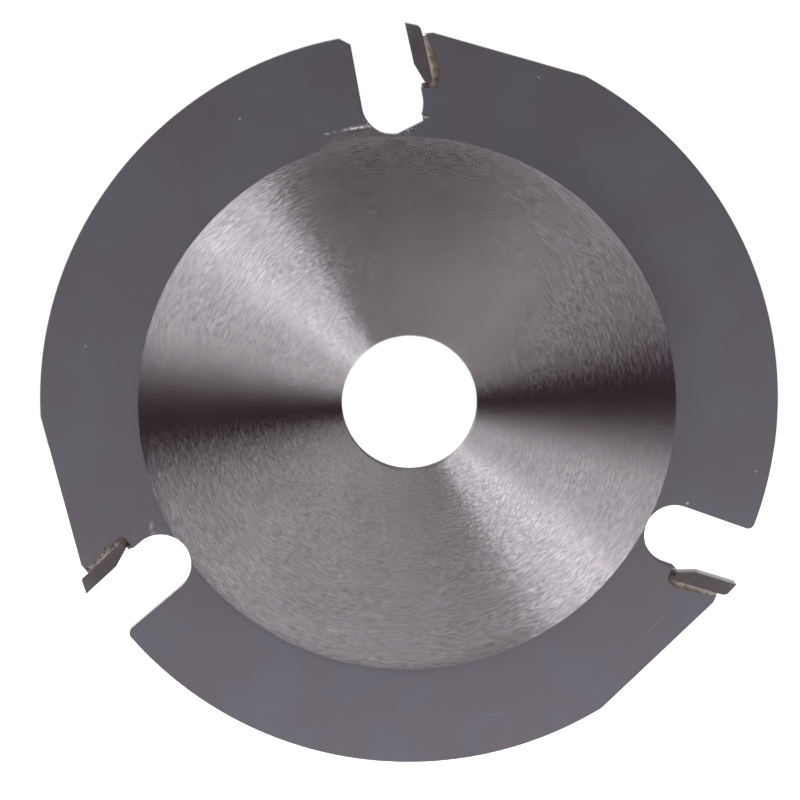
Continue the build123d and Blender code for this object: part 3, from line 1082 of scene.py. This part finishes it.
def build_floor(studio, finish):
    """A round pale floor below the disc."""
    edge = polar(studio.floor_radius, np.linspace(0, 360, 97)[:-1])
    points = np.column_stack([edge, np.full(len(edge), -studio.floor_drop)])
    mesh = bpy.data.meshes.new("floor")
    mesh.from_pydata(points.tolist(), [], [list(range(len(points)))])
    floor = bpy.data.objects.new("floor", mesh)
    bpy.context.scene.collection.objects.link(floor)
    material, _, shader = new_material("floor_paper")
    shader.inputs["Base Color"].default_value = (*finish.floor, 1)
    shader.inputs["Roughness"].default_value = 0.9
    shader.inputs["Specular IOR Level"].default_value = 0.1
    mesh.materials.append(material)
    floor.visible_glossy = False


# Soft panels round the disc: (turn in degrees from +X, counter-clockwise; brightness)
ROOM_PANELS = (
    (0, 0), (9.5, 0), (14, 0.065), (22, 0.075), (40, 0.07), (60, 0.05), (76, 0.01), (84, 0),
    (115, 0), (121, 0.01), (124.5, 0.52), (130, 0.55), (132.5, 0.31), (136, 0.62),
    (141.5, 0.61), (147, 0.41), (152, 0.34), (162, 0.37), (167, 0.25), (172, 0.12),
    (176, 0.02), (184, 0), (188.3, 0), (193, 0.12), (199, 0.23), (211, 0.32), (225, 0.39),
    (262, 0.385), (275, 0.35), (294, 0.33), (300.5, 0.33), (304, 0.55), (311, 0.55),
    (313, 0.31), (316, 0.76), (322, 0.62), (327, 0.36), (342, 0.30), (347, 0.18),
    (352, 0.08), (356, 0.015), (360, 0),
)


def build_room(studio):
    """Room light: its brightness depends on the direction's turn about the line where the
    disc mirrors the camera, so that soft panels stand round the disc like spokes. It is dim
    near that line. The camera itself sees plain white."""
    world = bpy.data.worlds.new("studio_room")
    bpy.context.scene.world = world
    world.use_nodes = True
    world.node_tree.nodes.clear()
    add = Nodes(world.node_tree)
    output = add.node("OutputWorld")
    direction = add.node("TexCoord").outputs["Generated"]
    split = add.node("SeparateXYZ", i0=direction).outputs
    across = add.plus(split[0], studio.camera_lean[0])
    up = add.plus(split[2], studio.camera_lean[1])
    turn = add.math("DIVIDE", add.math("ARCTAN2", up, across), 2 * math.pi)
    turn = add.math("FRACT", add.plus(turn, 1.0))
    reach = add.math("SQRT", add.plus(add.times(across, across), add.times(up, up)))
    curve = add.node("FloatCurve", i1=turn)
    points = curve.mapping.curves[0].points
    top = max(level for _, level in ROOM_PANELS)
    places = [(angle / 360, level / top) for angle, level in ROOM_PANELS]
    points[0].location, points[1].location = places[0], places[-1]
    for place in places[1:-1]:
        points.new(*place)
    for point in points:
        point.handle_type = "VECTOR"
    curve.mapping.update()
    near = add.spread(reach, *NEAR_REACH)
    far = add.spread(reach, *FAR_REACH, 1.0, studio.far_share)
    level = add.times(add.times(curve.outputs[0], near), top)
    level = add.times(level, add.times(far, studio.room_power))
    behind = add.times(add.spread(split[1], 0.3, 0.7), add.math("SUBTRACT", 1.0, near))
    level = add.plus(level, add.times(behind, studio.backdrop))
    glow = add.node("CombineXYZ", i0=level, i1=level, i2=level).outputs[0]
    glow = add.vector("ADD", glow, studio.fill)
    room = add.node("Background", i0=glow, i1=1.0).outputs[0]
    plain = add.node("Background", i0=(1, 1, 1, 1), i1=1.0).outputs[0]
    seen = add.node("LightPath").outputs["Is Camera Ray"]
    mixed = add.node("MixShader", i0=seen, i1=room, i2=plain).outputs[0]
    add.put(output.inputs["Surface"], mixed)


def build_overhead(studio):
    """A wide soft panel straight above, for the floor."""
    light = bpy.data.lights.new("overhead_panel", "AREA")
    light.shape = "DISK"
    light.size = OVERHEAD_SIZE
    light.energy = studio.overhead_power
    lamp = bpy.data.objects.new("overhead_panel", light)
    lamp.location = OVERHEAD_PLACE
    bpy.context.scene.collection.objects.link(lamp)


def build_camera(studio, size):
    """The camera looks at the bore's front edge along the given lean."""
    camera = bpy.data.cameras.new("camera")
    camera.lens = studio.focal_length
    camera.sensor_width = 36
    camera.shift_x, camera.shift_y = CAMERA_SHIFT
    camera.clip_start, camera.clip_end = 0.01, 20
    x, z = studio.camera_lean
    direction = Vector((x, -math.sqrt(1 - x * x - z * z), z))
    target = Vector((0, -size.plate_thickness / 2, 0))
    view = bpy.data.objects.new("camera", camera)
    view.location = target + direction * studio.camera_distance
    view.rotation_euler = direction.to_track_quat("Z", "Y").to_euler()
    bpy.context.scene.collection.objects.link(view)
    bpy.context.scene.camera = view
    bpy.context.scene.view_settings.view_transform = "Standard"


class DISC_PT_panel(bpy.types.Panel):
    """Lists the steps and the sizes of the carving disc"""

    bl_label = "Carving Disc"
    bl_idname = "DISC_PT_panel"
    bl_space_type = "VIEW_3D"
    bl_region_type = "UI"
    bl_category = "Carving Disc"

    def draw(self, context):
        layout = self.layout
        for step in STEPS:
            layout.operator(step.bl_idname)
        for group in (context.scene.disc_size, context.scene.disc_finish, context.scene.disc_studio):
            box = layout.box()
            for name in group.__annotations__:
                box.prop(group, name)


STEPS = (DISC_OT_plate, DISC_OT_tips, DISC_OT_braze, DISC_OT_stage)
CLASSES = (DiscSize, DiscFinish, StudioSettings, *STEPS, DISC_PT_panel)


def register():
    for cls in CLASSES:
        bpy.utils.register_class(cls)
    bpy.types.Scene.disc_size = PointerProperty(type=DiscSize)
    bpy.types.Scene.disc_finish = PointerProperty(type=DiscFinish)
    bpy.types.Scene.disc_studio = PointerProperty(type=StudioSettings)


def unregister():
    del bpy.types.Scene.disc_studio
    del bpy.types.Scene.disc_finish
    del bpy.types.Scene.disc_size
    for cls in reversed(CLASSES):
        bpy.utils.unregister_class(cls)


def main():
    """Registers the classes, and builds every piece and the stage."""
    register()
    bpy.ops.carving_disc.plate()
    bpy.ops.carving_disc.tips()
    bpy.ops.carving_disc.braze()
    bpy.ops.carving_disc.stage()


if __name__ == "__main__":
    main()
